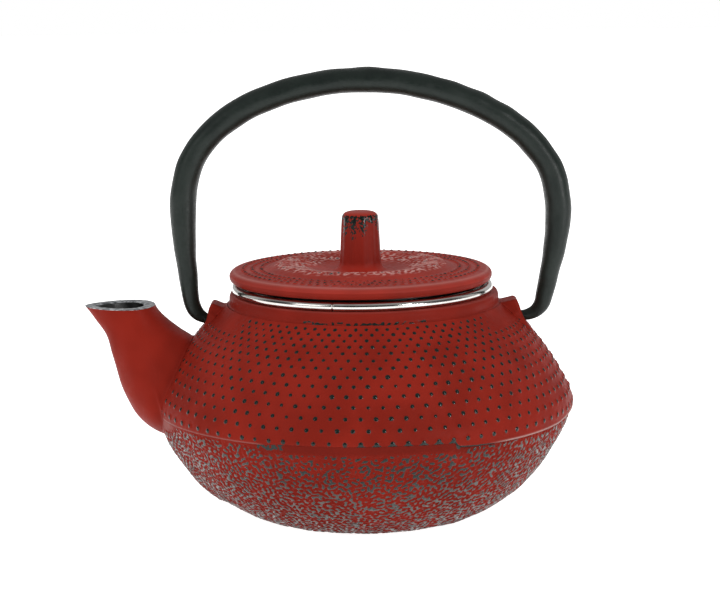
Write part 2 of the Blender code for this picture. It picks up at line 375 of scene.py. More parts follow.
def enamel(name, shine, iron_shine, tones):
    """Satin enamel over iron, led by the fields of the mesh.

    Over a half, wear shows the iron. Other fields paint that iron pale, as polish and as painted glints, and
    paint highlights, sheen and shade on the enamel.
    """
    material, tree, shader = new_material(name)
    place = place_of(tree)
    cloud = noise(tree, place, 70.0, 2.0)
    grain = noise(tree, place, 900.0, 4.0, 0.6)
    fine = noise(tree, place, 3200.0, 3.0, 0.6)
    deep_tone, main_tone, sheen_tone = tones
    red = blended(tree, remap(tree, cloud, 0.35, 0.68), deep_tone, main_tone)
    # Painted shade: the enamel darkened towards a shaded tone where the field says
    red = blended(tree, field_of(tree, "painted_shade"), red, RED_SHADE)
    # Painted highlights and sheen: the enamel paled towards a pale tone where the field says
    red = blended(tree, remap(tree, field_of(tree, "painted_sheen"), 0.0, 1.0), red, sheen_tone)
    edge = maths(tree, "MULTIPLY", maths(tree, "SUBTRACT", grain, 0.5), 0.35)
    worn = remap(tree, maths(tree, "ADD", field_of(tree, "wear"), edge), 0.41, 0.58)
    iron = blended(tree, remap(tree, fine, 0.4, 0.75), IRON, IRON_PALE)
    # Pale polished iron, which also paints glints of the floor and backdrop
    polish_and_glint = maths(tree, "MULTIPLY", field_of(tree, "bare_and_glint"), remap(tree, grain, 0.3, 0.6))
    iron = blended(tree, polish_and_glint, iron, IRON_BARE_GLINT)
    feed(shader, "Base Color", blended(tree, worn, red, iron))
    satin = remap(tree, grain, 0.3, 0.7, 0.40, 0.54)
    feed(shader, "Roughness", mixed(tree, worn, satin, IRON_ROUGHNESS))
    feed(shader, "Specular IOR Level", mixed(tree, worn, shine, iron_shine))
    height = maths(tree, "ADD", maths(tree, "MULTIPLY", grain, 0.7), maths(tree, "MULTIPLY", fine, 0.3))
    feed(shader, "Normal", bump(tree, height, 0.35, 0.00012))
    return material


def black_enamel(name):
    """The dark lining of the pot and lid, slightly pebbled."""
    material, tree, shader = new_material(name)
    place = place_of(tree)
    grain = noise(tree, place, 420.0, 3.0)
    feed(shader, "Base Color", blended(tree, remap(tree, grain, 0.35, 0.7), *LINING_TONES))
    feed(shader, "Roughness", remap(tree, grain, 0.3, 0.7, 0.32, 0.48))
    feed(shader, "Normal", bump(tree, grain, 0.4, 0.0002))
    return material


def bail_paint(name):
    """Satin black paint over cast iron with a faint green cast."""
    material, tree, shader = new_material(name)
    place = place_of(tree)
    cloud = noise(tree, place, 120.0, 3.0)
    grain = noise(tree, place, 1300.0, 4.0, 0.6)
    feed(shader, "Base Color", blended(tree, remap(tree, cloud, 0.3, 0.7), *BAIL_TONES))
    feed(shader, "Roughness", remap(tree, grain, 0.3, 0.7, 0.34, 0.50))
    feed(shader, "Normal", bump(tree, grain, 0.35, 0.00015))
    shader.inputs["Specular IOR Level"].default_value = 0.28
    return material


def steel(name, rough, brushed):
    """Stainless steel with fine drawing lines round the axis, of a given roughness and line depth."""
    material, tree, shader = new_material(name)
    place = place_of(tree)
    lines = noise(tree, stretched(tree, place, (60.0, 60.0, 2600.0)), 1.0, 3.0)
    spots = noise(tree, place, 260.0, 3.0)
    feed(shader, "Base Color", blended(tree, remap(tree, spots, 0.3, 0.75), *STEEL_TONES))
    feed(shader, "Roughness", remap(tree, lines, 0.25, 0.75, rough * 0.7, rough * 1.4))
    feed(shader, "Normal", bump(tree, lines, brushed, 0.00004))
    shader.inputs["Metallic"].default_value = 1.0
    return material


def bare_iron(name):
    """The ground lip of the spout: grey metal with fine scratches and dark pits."""
    material, tree, shader = new_material(name)
    place = place_of(tree)
    pits = noise(tree, place, 700.0, 4.0)
    scratches = noise(tree, stretched(tree, place, (300.0, 3200.0, 900.0)), 1.0, 2.0)
    feed(shader, "Base Color", blended(tree, remap(tree, pits, 0.42, 0.66), *GROUND_TONES))
    feed(shader, "Roughness", remap(tree, scratches, 0.3, 0.7, 0.30, 0.52))
    feed(shader, "Normal", bump(tree, scratches, 0.3, 0.00008))
    shader.inputs["Metallic"].default_value = 0.85
    return material


POT_RED = enamel("pot_red_enamel", 0.045, 0.32, (RED_DEEP, RED_MAIN, RED_SHEEN))
LID_RED = enamel("lid_red_enamel", 0.075, 0.22, (LID_DEEP_LIT, LID_MAIN_LIT, LID_SHEEN))
LINING = black_enamel("black_lining")
BAIL_BLACK = bail_paint("bail_satin_black")
BRIGHT_STEEL = steel("bright_steel", 0.15, 0.03)
WIRE_STEEL = steel("wire_steel", 0.26, 0.10)
LIP_IRON = bare_iron("ground_iron")

# ---- The pot's side ----

# Even points up the pot's side, the distance along it, and its directions along and outwards
SIDE = evenly(through(POT_KNOTS, 24), 721)
SIDE_LENGTHS = lengths(SIDE)
SIDE_ALONG = np.gradient(SIDE, axis=0)
SIDE_ALONG /= np.linalg.norm(SIDE_ALONG, axis=1)[:, None]
SIDE_OUT = np.stack([SIDE_ALONG[:, 1], -SIDE_ALONG[:, 0]], axis=1)


def side_points(along, angles):
    """The pot's plain side at distances along it and angles round it: points, normals and radii."""
    r, z, out_r, out_z = (np.interp(along, SIDE_LENGTHS, values) for values in (*SIDE.T, *SIDE_OUT.T))
    points = np.stack([r * np.sin(angles), -r * np.cos(angles), z], axis=-1)
    normals = np.stack([out_r * np.sin(angles), -out_r * np.cos(angles), out_z], axis=-1)
    return points, normals, r


def outside_pot(points):
    """Signed distance of points from the pot's plain side, positive outside."""
    flat = points.reshape(-1, 3)
    here = np.stack([np.hypot(flat[:, 0], flat[:, 1]), flat[:, 2]], axis=1)
    samples, outward = SIDE[::4], SIDE_OUT[::4]
    result = np.empty(len(here))
    for start in range(0, len(here), 20000):
        block = here[start:start + 20000]
        apart = ((block[:, None, :] - samples[None]) ** 2).sum(axis=2)
        nearest = apart.argmin(axis=1)
        result[start:start + 20000] = ((block - samples[nearest]) * outward[nearest]).sum(axis=1)
    return result.reshape(points.shape[:-1])


def length_at_height(z):
    """Distance along the side at a height."""
    return np.interp(z, SIDE[:, 1], SIDE_LENGTHS)


# The mould's parting line: degrees round the pot and height. It steps down on the right.
SEAM_LINE = ((-180, 30.2), (-150, 29.2), (-74, 28.8), (-45, 29.4), (-26, 29.7), (-22, 30.2), (8, 30.2),
             (23.4, 29.8), (24.8, 28.8), (30, 28.5), (48, 28.45), (64, 28.5), (73, 29.1), (84, 29.6),
             (150, 29.6), (176, 30.2), (180, 30.2))


def seam_height(angle):
    """Height of the mould's parting line round the pot."""
    where, height = np.array(SEAM_LINE).T
    return np.interp(degrees_round(angle), where, height) + 0.08 * np.sin(5 * angle)


def seam_step(angle):
    """How far the upper half stands proud of the lower at the parting line."""
    a = degrees_round(angle)
    right = smooth_step(23.4, 24.6, a) * smooth_step(176, 150, a)
    left = smooth_step(-25, -29, a) * smooth_step(-176, -150, a)
    return 0.06 + 0.46 * right + 0.14 * left


def spout_rings(shrink):
    """Oval rings up the spout, drawn in by shrink, growing pointed towards the mouth."""
    outer = through([outer_edge for outer_edge, _, _ in SPOUT_SECTIONS], SPOUT_PER_SPAN)
    inner = through([inner_edge for _, inner_edge, _ in SPOUT_SECTIONS], SPOUT_PER_SPAN)
    width = through([(half_width, 0.0) for _, _, half_width in SPOUT_SECTIONS], SPOUT_PER_SPAN)[:, 0]
    turn = circle_angles(SPOUT_COLUMNS)
    middle = (outer + inner) / 2
    half = (outer - inner) / 2
    size = np.linalg.norm(half, axis=1)
    half *= ((size - shrink) / size)[:, None]
    point = (0.30 * np.linspace(0, 1, len(middle)) ** 1.5)[:, None]
    y = (width - shrink)[:, None] * np.sin(turn) * (1 - point * np.cos(turn))
    centre = middle[:, None, :] + half[:, None, :] * np.cos(turn)[None, :, None]
    return np.stack([centre[..., 0], y, centre[..., 1]], axis=-1)


spout_outer = spout_rings(0.0)
spout_out = -grid_normals(spout_outer)

spout_tree = KDTree(spout_outer.shape[0] * spout_outer.shape[1])
for index, point in enumerate(spout_outer.reshape(-1, 3)):
    spout_tree.insert(point, index)
spout_tree.balance()


def outside_spout(points):
    """Signed distance from the spout's outer skin, positive outside; far points count as far."""
    flat = points.reshape(-1, 3)
    normals = spout_out.reshape(-1, 3)
    far = 30.0
    result = np.full(len(flat), far)
    nearby = (flat[:, 0] < -36) & (np.abs(flat[:, 1]) < 26) & (flat[:, 2] > 12)
    for k in np.flatnonzero(nearby):
        place, index, away = spout_tree.find(flat[k])
        side = float(np.dot(flat[k] - np.array(place), normals[index]))
        result[k] = away if side > 0 else -away
    return result.reshape(points.shape[:-1])


def nub_distance(angle, along, ring_along, radius, phase):
    """Distance of surface points to the nearest nub of one ring, and that nub's number."""
    pitch = 2 * pi / NUBS_PER_RING
    turn = angle / pitch - phase
    off = (turn - np.round(turn)) * pitch * radius
    return np.hypot(off, along - ring_along), np.round(turn).astype(int) % NUBS_PER_RING


def nub_rings():
    """(distance along the side, phase) of each ring of nubs, closing up towards the neck."""
    first_gap, closing = 3.27, 0.13
    rings = []
    along = length_at_height(LOWEST_RING_Z)
    for k in range(NUB_RINGS):
        rings.append((along, 0.75 if k % 2 == 0 else 0.25))
        along += first_gap - closing * k
    return rings


def nub_bell(away, foot, sharpness):
    """A nub's outline: 1 at its middle, 0 from its foot's radius outwards."""
    return (0.5 * (1 + np.cos(pi * np.clip(away / foot, 0, 1)))) ** sharpness


def casting_ripple(points):
    """The slight unevenness of a hand-finished casting."""
    return 0.05 * worm_field(points, 9.0, seed=5, waves=24)


def upper_side():
    """The nubbed half of the pot, from the parting line up to the neck."""
    columns, rows = 1260, 150
    angles = circle_angles(columns)
    seam = length_at_height(seam_height(angles))
    top = SIDE_LENGTHS[-1]
    t = np.concatenate([[0.0, 0.0], np.linspace(0, 1, rows - 1)[1:]])[:, None]
    along = seam + (top - seam) * t
    step = seam_step(angles)
    wide = np.broadcast_to(angles, along.shape)
    plain, outward, r = side_points(along, wide)
    spout_gap = outside_spout(plain)
    calm = smooth_step(0.3, 1.6, spout_gap)
    rng = np.random.default_rng(11)
    tall = np.zeros_like(along)
    wear = np.zeros_like(along)
    rings = nub_rings()
    a = degrees_round(wide)
    near_lug = smooth_step(50, 62, np.abs(a)) * smooth_step(130, 118, np.abs(a))
    for k, (ring, phase) in enumerate(rings):
        away, which = nub_distance(wide, along, ring, r, phase)
        tip = np.clip(rng.normal(NUB_WORN_R - 0.007 * k, 0.05, NUBS_PER_RING), 0.34, 0.68)
        height = rng.uniform(*NUB_HEIGHTS, NUBS_PER_RING) 
        if k >= FADING_RINGS:
            height *= 0.8 - 0.15 * (k - FADING_RINGS)
        bell = nub_bell(away, NUB_FOOT_R - 0.018 * k, 0.6)
        shown = 1 - near_lug if k >= FADING_RINGS else 1.0
        tall = np.maximum(tall, bell * height[which] * calm * shown)
        mark = (0.5 + (tip[which] - away) * 0.8) * shown
        wear = np.maximum(wear, mark * smooth_step(0.3, 1.2, spout_gap))
    # At the front, dark marks run down from the lowest ring of nubs to the parting line
    low_ring, low_phase = rings[0]
    low_away, _ = nub_distance(wide, np.full_like(along, low_ring), low_ring, r, low_phase)
    drop = np.clip((low_ring - along) / (low_ring - seam), 0, 1)
    smear = 0.5 + (0.35 + 1.05 * drop - low_away) * 0.8
    smear *= smooth_step(-12, 4, a) * smooth_step(26, 23, a) * (along < low_ring)
    wear = np.maximum(wear, smear)
    ledge = step * np.exp(-(along - seam) / 1.0)
    ripple = casting_ripple(plain) * smooth_step(0, 3, along - seam) * smooth_step(3.5, 9.0, spout_gap)
    offset = ledge * calm + tall + ripple
    offset[0] = -0.5
    grid = plain + offset[..., None] * outward
    edge = np.exp(-((along - seam) / 0.36) ** 2)
    black_start = smooth_step(22.9, 23.3, a) * smooth_step(42, 30, a)
    # Painted highlight along the edge of the ledge at the parting line
    painted_sheen = edge * smooth_step(0.0, 0.45, step) * (1 - black_start)
    painted_sheen[0] = 0
    wear = np.maximum(wear, 0.9 * edge * black_start)
    fields = {"wear": np.clip(wear, 0, 1), "painted_sheen": painted_sheen}
    pieces = banded(("pot_upper_side", "pot_shoulder_side"), grid, fields, spout_gap > -BURIED)
    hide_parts("pot_body")


def lower_side():
    """The rough half of the pot below the parting line."""
    columns, rows = 1260, 232
    depth, grain, swell, undercut = 0.19, 1.25, 1.15, 0.45
    angles = circle_angles(columns)
    seam = length_at_height(seam_height(angles)) + 0.02
    along = seam * np.linspace(0, 1, rows)[:, None]
    wide = np.broadcast_to(angles, along.shape)
    plain, outward, r = side_points(along, wide)
    spout_gap = outside_spout(plain)
    field = worm_field(plain, grain, seed=3, waves=110, spread=0.16)
    a = degrees_round(wide)
    below = seam - along
    # Where it is rough: not in the plain band under the parting line, by the spout or at the foot
    band = 2.6 - 1.9 * smooth_step(22, 30, a) - 1.9 * smooth_step(-24, -34, a)
    rough = smooth_step(band * 0.55, band * 1.1, below) * smooth_step(0.4, 2.2, spout_gap)
    rough *= smooth_step(0.5, 4.0, along)
    pale_patch = np.exp(-((a + 72) / 9) ** 2 - ((below - 1.0) / 2.0) ** 2)
    rough *= smooth_step(0.6, 0.2, pale_patch)
    relief = depth * np.tanh(1.1 * field) * rough
    patchy = worm_field(plain, 4.2, seed=19, waves=40)
    wear = 0.5 + 0.24 * (field - 0.42 - 0.14 * patchy)
    wear *= smooth_step(0.6, 1.0, rough) * (1 - 0.10 * smooth_step(7, 3, below))
    # The mould's mark under the spout: a low swelling that ends in a step near the foot
    high = plain[..., 2]
    swelling = smooth_step(29, 15, np.abs(a + 90)) * smooth_step(4.9, 5.6, high) * smooth_step(29, 24, high)
    right = smooth_step(23, 26, a) * smooth_step(176, 150, a)
    drawn_in = right * np.exp(-below / 1.6)
    offset = relief + swell * swelling - undercut * drawn_in + casting_ripple(plain) * rough
    grid = plain + offset[..., None] * outward
    # Painted sheen on the rough relief, and a smooth patch below the spout painted paler
    painted_sheen = 0.02 * rough + 0.25 * pale_patch
    # The marks stay dark at the front and are painted pale elsewhere: part polished iron, part painted glints
    # of the floor and backdrop
    shaded = smooth_step(62, 12, np.abs(a)) * smooth_step(10, 22, high)
    bare_and_glint = (1 - shaded) * (0.75 + 0.25 * np.tanh(patchy)) * rough
    # Worn spots at both ends of the front stretch of the parting line
    corner = np.hypot((a - 24.6) * radians(1) * r, below - 0.3)
    wear = np.maximum(wear, 0.5 + (0.75 - corner) * 0.8)
    left_end = smooth_step(-29, -27, a) * smooth_step(-21, -23, a) * smooth_step(1.6, 0.4, below)
    blobs = worm_field(plain, 1.5, seed=51, waves=40) + 0.9 * left_end - 0.6
    wear = np.maximum(wear, (0.5 + 0.3 * blobs) * (left_end > 0))
    # Painted shadow under the ledge on the right, and painted shade on a band under the parting line at the
    # front
    shadow = 0.9 * right * smooth_step(0.7, 0.3, below)
    painted_shade = shadow + 0.60 * smooth_step(3.2, 1.6, below) * smooth_step(40, 20, np.abs(a))
    fields = {"wear": np.clip(wear, 0, 1), "painted_sheen": painted_sheen, "bare_and_glint": bare_and_glint, "painted_shade": np.clip(painted_shade, 0, 1)}
    banded(("pot_lower_side", "pot_belly_side", "pot_waist_side"), grid, fields, spout_gap > -BURIED)


def pot_collar():
    """The plain ring above the shoulder, its flat lip and the turn into the mouth."""
    top = POT_COLLAR_TOP
    path = through([(37.55, 57.2), (37.75, 57.75), (37.35, 58.3), (37.3, 59.8), (37.05, top - 0.35),
                    (36.75, top - 0.05), (36.4, top), (35.0, top), (34.5, top - 0.03),
                    (34.1, top - 0.3), (MOUTH_R, top - 0.9)], 6)
    angles = circle_angles(540)
    grid = turned(path, angles)
    a = degrees_round(angles)[None, :]
    height = path[:, 1][:, None]
    outer = path[:, 0][:, None] > 36.9
    specks = worm_field(grid, 1.3, seed=23, waves=40)
    front = smooth_step(-33, -22, a) * smooth_step(34, 24, a)
    junction = np.exp(-((height - 57.8) / 0.75) ** 2)
    wear = np.clip((0.5 + 0.3 * (specks - 0.30)) * front * junction * 1.25, 0, 1) * outer
    # Painted highlight along the lip's top edge
    painted_sheen = 0.15 * np.exp(-((height - top + 0.1) / 0.25) ** 2)
    wave = 0.04 * worm_field(grid, 6.0, seed=7, waves=24) * outer
    grid = grid + wave[..., None] * grid_normals(grid)
    # Painted shadow of the lid on the collar's outer wall
    item = grid_object("pot_collar", grid, {"wear": wear, "painted_sheen": painted_sheen, "painted_shade": 0.30 * outer})
    finish_piece(item, "pot", POT_RED, "pot_enamel")


def pot_inside():
    """The black lining: down from the mouth, round under the shoulder and over the floor."""
    inner = SIDE - SIDE_OUT * POT_WALL
    rising = inner[(inner[:, 1] > POT_WALL) & (inner[:, 1] < 54.5) & (inner[:, 0] > MOUTH_R * 0.8)]
    bottom = [(0.0, POT_WALL), (12.0, POT_WALL), (24.0, POT_WALL)]
    mouth = [(MOUTH_R + 0.6, 56.6), (MOUTH_R, 57.4), (MOUTH_R, POT_COLLAR_TOP - 0.8)]
    path = evenly(np.vstack([bottom, rising[::40], mouth]), 150)
    grid = turned(path, circle_angles(300))
    pebbles = 0.08 * worm_field(grid, 3.0, seed=31, waves=40)
    open_to_spout = outside_spout(grid) <= -SPOUT_WALL + 0.1
    grid = grid - pebbles[..., None] * grid_normals(grid)
    item = weld(grid_object("pot_lining", grid, flip=True, keep=~open_to_spout))
    finish_piece(item, "pot", LINING, "pot_enamel")


def pot_foot():
    """The foot: a flat ring with a shallow hollow inside it."""
    foot_r = POT_KNOTS[0][0]
    path = through([(0.0, 0.9), (12.0, 0.9), (22.0, 0.85), (23.2, 0.6), (23.9, 0.12), (24.6, 0.0),
                    (26.4, 0.0), (foot_r, 0.02)], 8)
    path[:, 1] = np.clip(path[:, 1], 0.0, None)
    item = weld(grid_object("pot_foot", turned(path, circle_angles(300))))
    finish_piece(item, "pot", LINING, "pot_enamel")


FILLET_HALVINGS = 16


def filleted(grid, out, radius):
    """Moves a skin out along its normals so that it runs into the pot's side in a round fillet."""
    def level(x):
        """Over 0 once a point moved out by x lies outside the fillet's round."""
        gap = outside_pot(grid + out * x[..., None]) + SINK
        return radius - np.hypot(np.clip(radius - gap, 0, None), np.clip(radius - x, 0, None))

    low = np.zeros(grid.shape[:-1])
    high = np.broadcast_to(radius, grid.shape[:-1]) + low
    reachable = level(high) > 0
    for _ in range(FILLET_HALVINGS):
        middle = (low + high) / 2
        over = level(middle) > 0
        high = np.where(over, middle, high)
        low = np.where(over, low, middle)
    return grid + out * (high * reachable)[..., None]


def spout_ridge(skin):
    """How much of the short mould ridge on the front of the spout each point of its skin bears."""
    foot, tip = np.array([-53.3, 25.5]), np.array([-57.6, 38.0])
    reach = np.linalg.norm(tip - foot)
    climb = (tip - foot) / reach
    flat = skin[..., [0, 2]] - foot
    share = flat @ climb / reach
    aside = flat @ np.array([climb[1], -climb[0]])
    ridge = np.exp(-(aside / 0.45) ** 2) * smooth_step(-0.1, 0.1, share) * smooth_step(1.1, 0.6, share)
    return ridge * (skin[..., 1] < 0)


def spout():
    """The spout: its outer skin filleted into the side, the ground lip and the channel."""
    gap = outside_pot(spout_outer)
    outer = filleted(spout_outer, spout_out, 0.8)
    ripple = 0.05 * worm_field(outer, 7.0, seed=13, waves=24)
    top_fade = smooth_step(1.0, 0.93, np.linspace(0, 1, len(outer)))[:, None]
    outer = outer + spout_out * (ripple * top_fade + 0.35 * spout_ridge(outer))[..., None]
    channel = spout_rings(SPOUT_WALL)
    lip_out, lip_in = spout_outer[-1], channel[-1]
    lip = [outer[-2] * 0.25 + lip_out * 0.75]
    # Points across the lip: share of the way in, and how far below the rim
    for share, sink in ((0.06, 0.0), (0.3, 0.03), (0.6, 0.03), (0.88, 0.0), (1.0, 0.35)):
        lip.append(lip_out * (1 - share) + lip_in * share - np.array([0, 0, sink]))
    lip = np.array(lip)
    skin = grid_object("spout_outside", outer[:-1], flip=True, keep=(gap > -SKIN_BURIED)[:-1])
    finish_piece(skin, "pot", POT_RED, "pot_enamel")
    edge = grid_object("spout_lip", np.concatenate([outer[-2:-1], lip]), flip=True)
    finish_piece(edge, "pot", LIP_IRON, "pot_enamel")
    inside = np.concatenate([lip[-1:], channel[:-2][::-1]])
    outside_belly = (outside_pot(channel) > -POT_WALL - 0.2)[:-2][::-1]
    keep = np.concatenate([np.ones((1, SPOUT_COLUMNS), bool), outside_belly])
    bore = grid_object("spout_bore", inside, flip=True, keep=keep)
    finish_piece(bore, "pot", LINING, "pot_enamel")


# The lugs' outlines from the collar over the top and down to the shoulder: (distance from the axis, z)
LUG_LEFT = ((36.2, 56.5), (37.9, 56.9), (39.4, 57.3), (41.5, 58.1), (42.3, 57.85), (42.75, 57.1),
            (43.1, 56.0), (43.4, 54.6), (43.85, 51.9), (45.2, 50.0), (46.0, 46.5))
LUG_RIGHT = ((36.2, 57.2), (38.6, 57.75), (40.2, 58.1), (41.4, 58.4), (42.2, 58.2), (42.8, 57.3),
             (43.6, 54.9), (44.75, 51.7), (46.0, 49.8), (46.4, 46.5))
LUG_HEART = (37.0, 51.5)
LUG_HALF = 4.2
LUG_EDGE = 1.0


def lug(name, side, knots):
    """An ear that holds the bail: a wedge with rounded edges that runs into the shoulder."""
    outline = evenly(through(knots, 10), 110)
    inward = np.array(LUG_HEART) - outline
    depth = np.linalg.norm(inward, axis=1)[:, None]
    inward = inward / depth
    face = []
    for share in np.linspace(1.0, 0.0, 26)[:-1]:
        face.append((outline + inward * (LUG_EDGE + (depth - LUG_EDGE) * share), -LUG_HALF))
    for turn in np.linspace(0, pi / 2, 7):
        rounded = outline + inward * LUG_EDGE * (1 - np.sin(turn))
        face.append((rounded, -LUG_HALF + LUG_EDGE * (1 - np.cos(turn))))
    flat_half = LUG_HALF - LUG_EDGE
    rim = [(outline, y) for y in np.linspace(-flat_half, flat_half, 12)[1:-1]]
    far_face = [(points, -y) for points, y in face[::-1]]
    grid = np.stack([np.stack([side * points[:, 0], np.full(len(points), y), points[:, 1]], axis=-1)
                     for points, y in face + rim + far_face], axis=1)
    out = grid_normals(grid, closed=False) * -side
    blend = 0.4 + 1.6 * smooth_step(57.6, 55.5, outline[:, 1])[:, None]
    item = grid_object(name, filleted(grid, out, blend), closed=False, flip=side > 0,
                       keep=outside_pot(grid) > -SKIN_BURIED)
    finish_piece(item, "pot", POT_RED, "pot_enamel")


# ---- The bail ----

# The bail's middle line and section from the left pin to the right: (x, z, thickness, width in y)
PIN = (53.4, 2.7, 2.7)
BAIL_LEFT = ((-41.4, *PIN), (-43.7, 53.45, 2.8, 2.8), (-45.0, 53.9, 3.3, 3.3), (-46.25, 54.8, 3.8, 4.2),
             (-47.3, 56.3, 4.2, 5.1), (-48.0, 58.6, 4.4, 6.0), (-48.5, 63.5, 5.0, 7.0),
             (-49.1, 70.5, 5.7, 7.9), (-49.55, 77.5, 6.6, 8.5), (-49.6, 83.5, 7.15, 8.8))
BAIL_ARCH = ((-48.95, 90.8, 7.25, 8.8), (-46.7, 97.8, 7.2, 8.8), (-42.0, 104.2, 7.1, 8.8),
             (-33.5, 110.85, 7.1, 8.8), (-22.5, 115.5, 7.0, 8.8), (-10.8, 118.2, 6.9, 8.8),
             (0.5, 119.05, 6.9, 8.8), (12.0, 118.1, 6.9, 8.8), (24.0, 115.15, 6.95, 8.8),
             (34.6, 110.65, 7.05, 8.8), (43.3, 104.9, 7.1, 8.8), (49.5, 98.05, 7.1, 8.8),
             (52.72, 91.4, 7.2, 8.8))
BAIL_RIGHT = ((53.85, 83.8, 7.2, 8.8), (53.6, 77.2, 6.7, 8.5), (52.65, 70.9, 6.0, 7.9),
              (51.45, 64.9, 5.3, 7.2), (50.2, 59.6, 4.75, 6.2), (49.4, 56.8, 4.35, 5.3),
              (48.0, 54.9, 3.8, 4.3), (46.5, 53.95, 3.4, 3.5), (45.2, 53.55, 3.05, 3.05),
              (44.0, 53.45, 2.8, 2.8), (41.4, *PIN))
BAIL_SQUARENESS = 2.25


def bail():
    """The swinging handle: an oval bar with round pins, its right leg leaning out further."""
    line = evenly(through(BAIL_LEFT + BAIL_ARCH + BAIL_RIGHT, 8), 420)
    x, z, thick, wide = line.T[..., None]
    along = np.gradient(line[:, :2], axis=0)
    along /= np.linalg.norm(along, axis=1)[:, None]
    turn = circle_angles(40)
    power = 2 / BAIL_SQUARENESS
    oval_out = np.sign(np.cos(turn)) * np.abs(np.cos(turn)) ** power
    oval_side = np.sign(np.sin(turn)) * np.abs(np.sin(turn)) ** power
    out = thick / 2 * oval_out
    grid = np.stack([x - along[:, 1:] * out, wide / 2 * oval_side, z + along[:, :1] * out], axis=-1)
    ripple = 0.05 * worm_field(grid, 7.0, seed=41, waves=24)[..., None]
    grid += ripple * grid_normals(grid) * (thick > 3)[..., None]
    ends = [np.repeat(grid[k].mean(axis=0)[None, None], len(turn), axis=1) for k in (0, -1)]
    item = weld(grid_object("bail_bar", np.concatenate([ends[0], grid, ends[1]]), flip=True))
    finish_piece(item, "bail", BAIL_BLACK, "bail_black", "handle")


# ---- The lid ----

LID_NUB_RINGS = (32.5, 30.0, 27.5)


def lid_disc():
    """The lid's plate: nub rings, a rough raised ring, the dished centre and the rolled rim."""
    under = LID_UNDER_Z
    knots = [(6.6, 66.9), (8.5, 66.85), (12.0, 67.2), (15.5, 67.95), (18.5, 68.65), (21.0, 68.95),
             (23.2, 68.6), (24.8, 67.95), (26.5, 67.5), (33.2, 67.3), (34.2, 67.3), (35.0, 67.2),
             (35.75, 66.8), (36.25, 66.15), (36.35, 65.55), (36.2, 64.85), (35.75, under + 0.3),
             (35.1, under + 0.02), (33.6, under), (LID_FLANGE_R, under + 0.02)]
    path = evenly(through(knots, 12), 146)
    angles = circle_angles(640)
    grid = turned(path, angles, LID_X)
    wide = np.broadcast_to(angles, grid.shape[:2])
    r = np.broadcast_to(path[:, 0][:, None], grid.shape[:2])
    on_top = (np.arange(len(path)) < np.argmax(path[:, 0]))[:, None]
    rng = np.random.default_rng(5)
    tall = np.zeros_like(r)
    wear = np.zeros_like(r)
    for k, ring in enumerate(LID_NUB_RINGS):
        away, which = nub_distance(wide, r, ring, r, 0.5 * (k % 2))
        tip = rng.uniform(0.26, 0.5, NUBS_PER_RING)
        tall = np.maximum(tall, 0.48 * nub_bell(away, 0.85, 0.7))
        wear = np.maximum(wear, 0.5 + (tip[which] - away) * 0.9)
    field = worm_field(grid, 1.5, seed=17)
    rough = smooth_step(11.5, 15.5, r) * smooth_step(24.4, 22.8, r)
    tall = tall * on_top + 0.17 * np.tanh(1.3 * field) * rough * on_top
    wear = np.maximum(wear * on_top, (0.5 + 0.3 * (field - 1.75)) * smooth_step(0.6, 1, rough) * on_top)
    patchy = 0.65 + 0.35 * np.tanh(worm_field(grid, 7.0, seed=61, waves=30))
    # Painted highlight along the rim's crest, painted light on the whole top, and painted sheen on the rough
    # ring
    rim_painted_highlight = 0.28 * np.exp(-((r - 35.2) / 0.5) ** 2) * on_top
    painted_sheen = 0.11 * on_top + 1.2 * smooth_step(-0.4, 1.4, field) * rough * patchy + rim_painted_highlight
    from_vent = np.hypot(grid[..., 0] - VENT[0], grid[..., 1] - VENT[1])
    grid = grid - tall[..., None] * grid_normals(grid)
    grid[..., 2] -= np.where((from_vent < VENT_R) & on_top, VENT_DEPTH, 0.0)
    # Painted shade: the vent's pit and a thin ring round it are painted black as iron for the dark of the
    # hole
    wear = np.where(from_vent < VENT_R + 0.15, 1.0, wear)
    # Painted shade below the rim's widest point
    fields = {"wear": np.clip(wear, 0, 1), "painted_sheen": np.clip(painted_sheen, 0, 1), "painted_shade": 0.42 * ~on_top}
    item = grid_object("lid_plate", grid, fields, flip=True)
    finish_piece(item, "lid", LID_RED, "lid_enamel", "lid")


# How far the bare iron runs down each of the knob's twelve ridges, from the front one to the right
KNOB_RUBBED = (7.5, 3.0, 7.5, 3.0, 6.5, 2.5, 5.0, 3.5, 6.0, 4.0, 9.5, 9.0)
KNOB_FLUTES = len(KNOB_RUBBED)
KNOB_FRONT_RIDGE = radians(9)


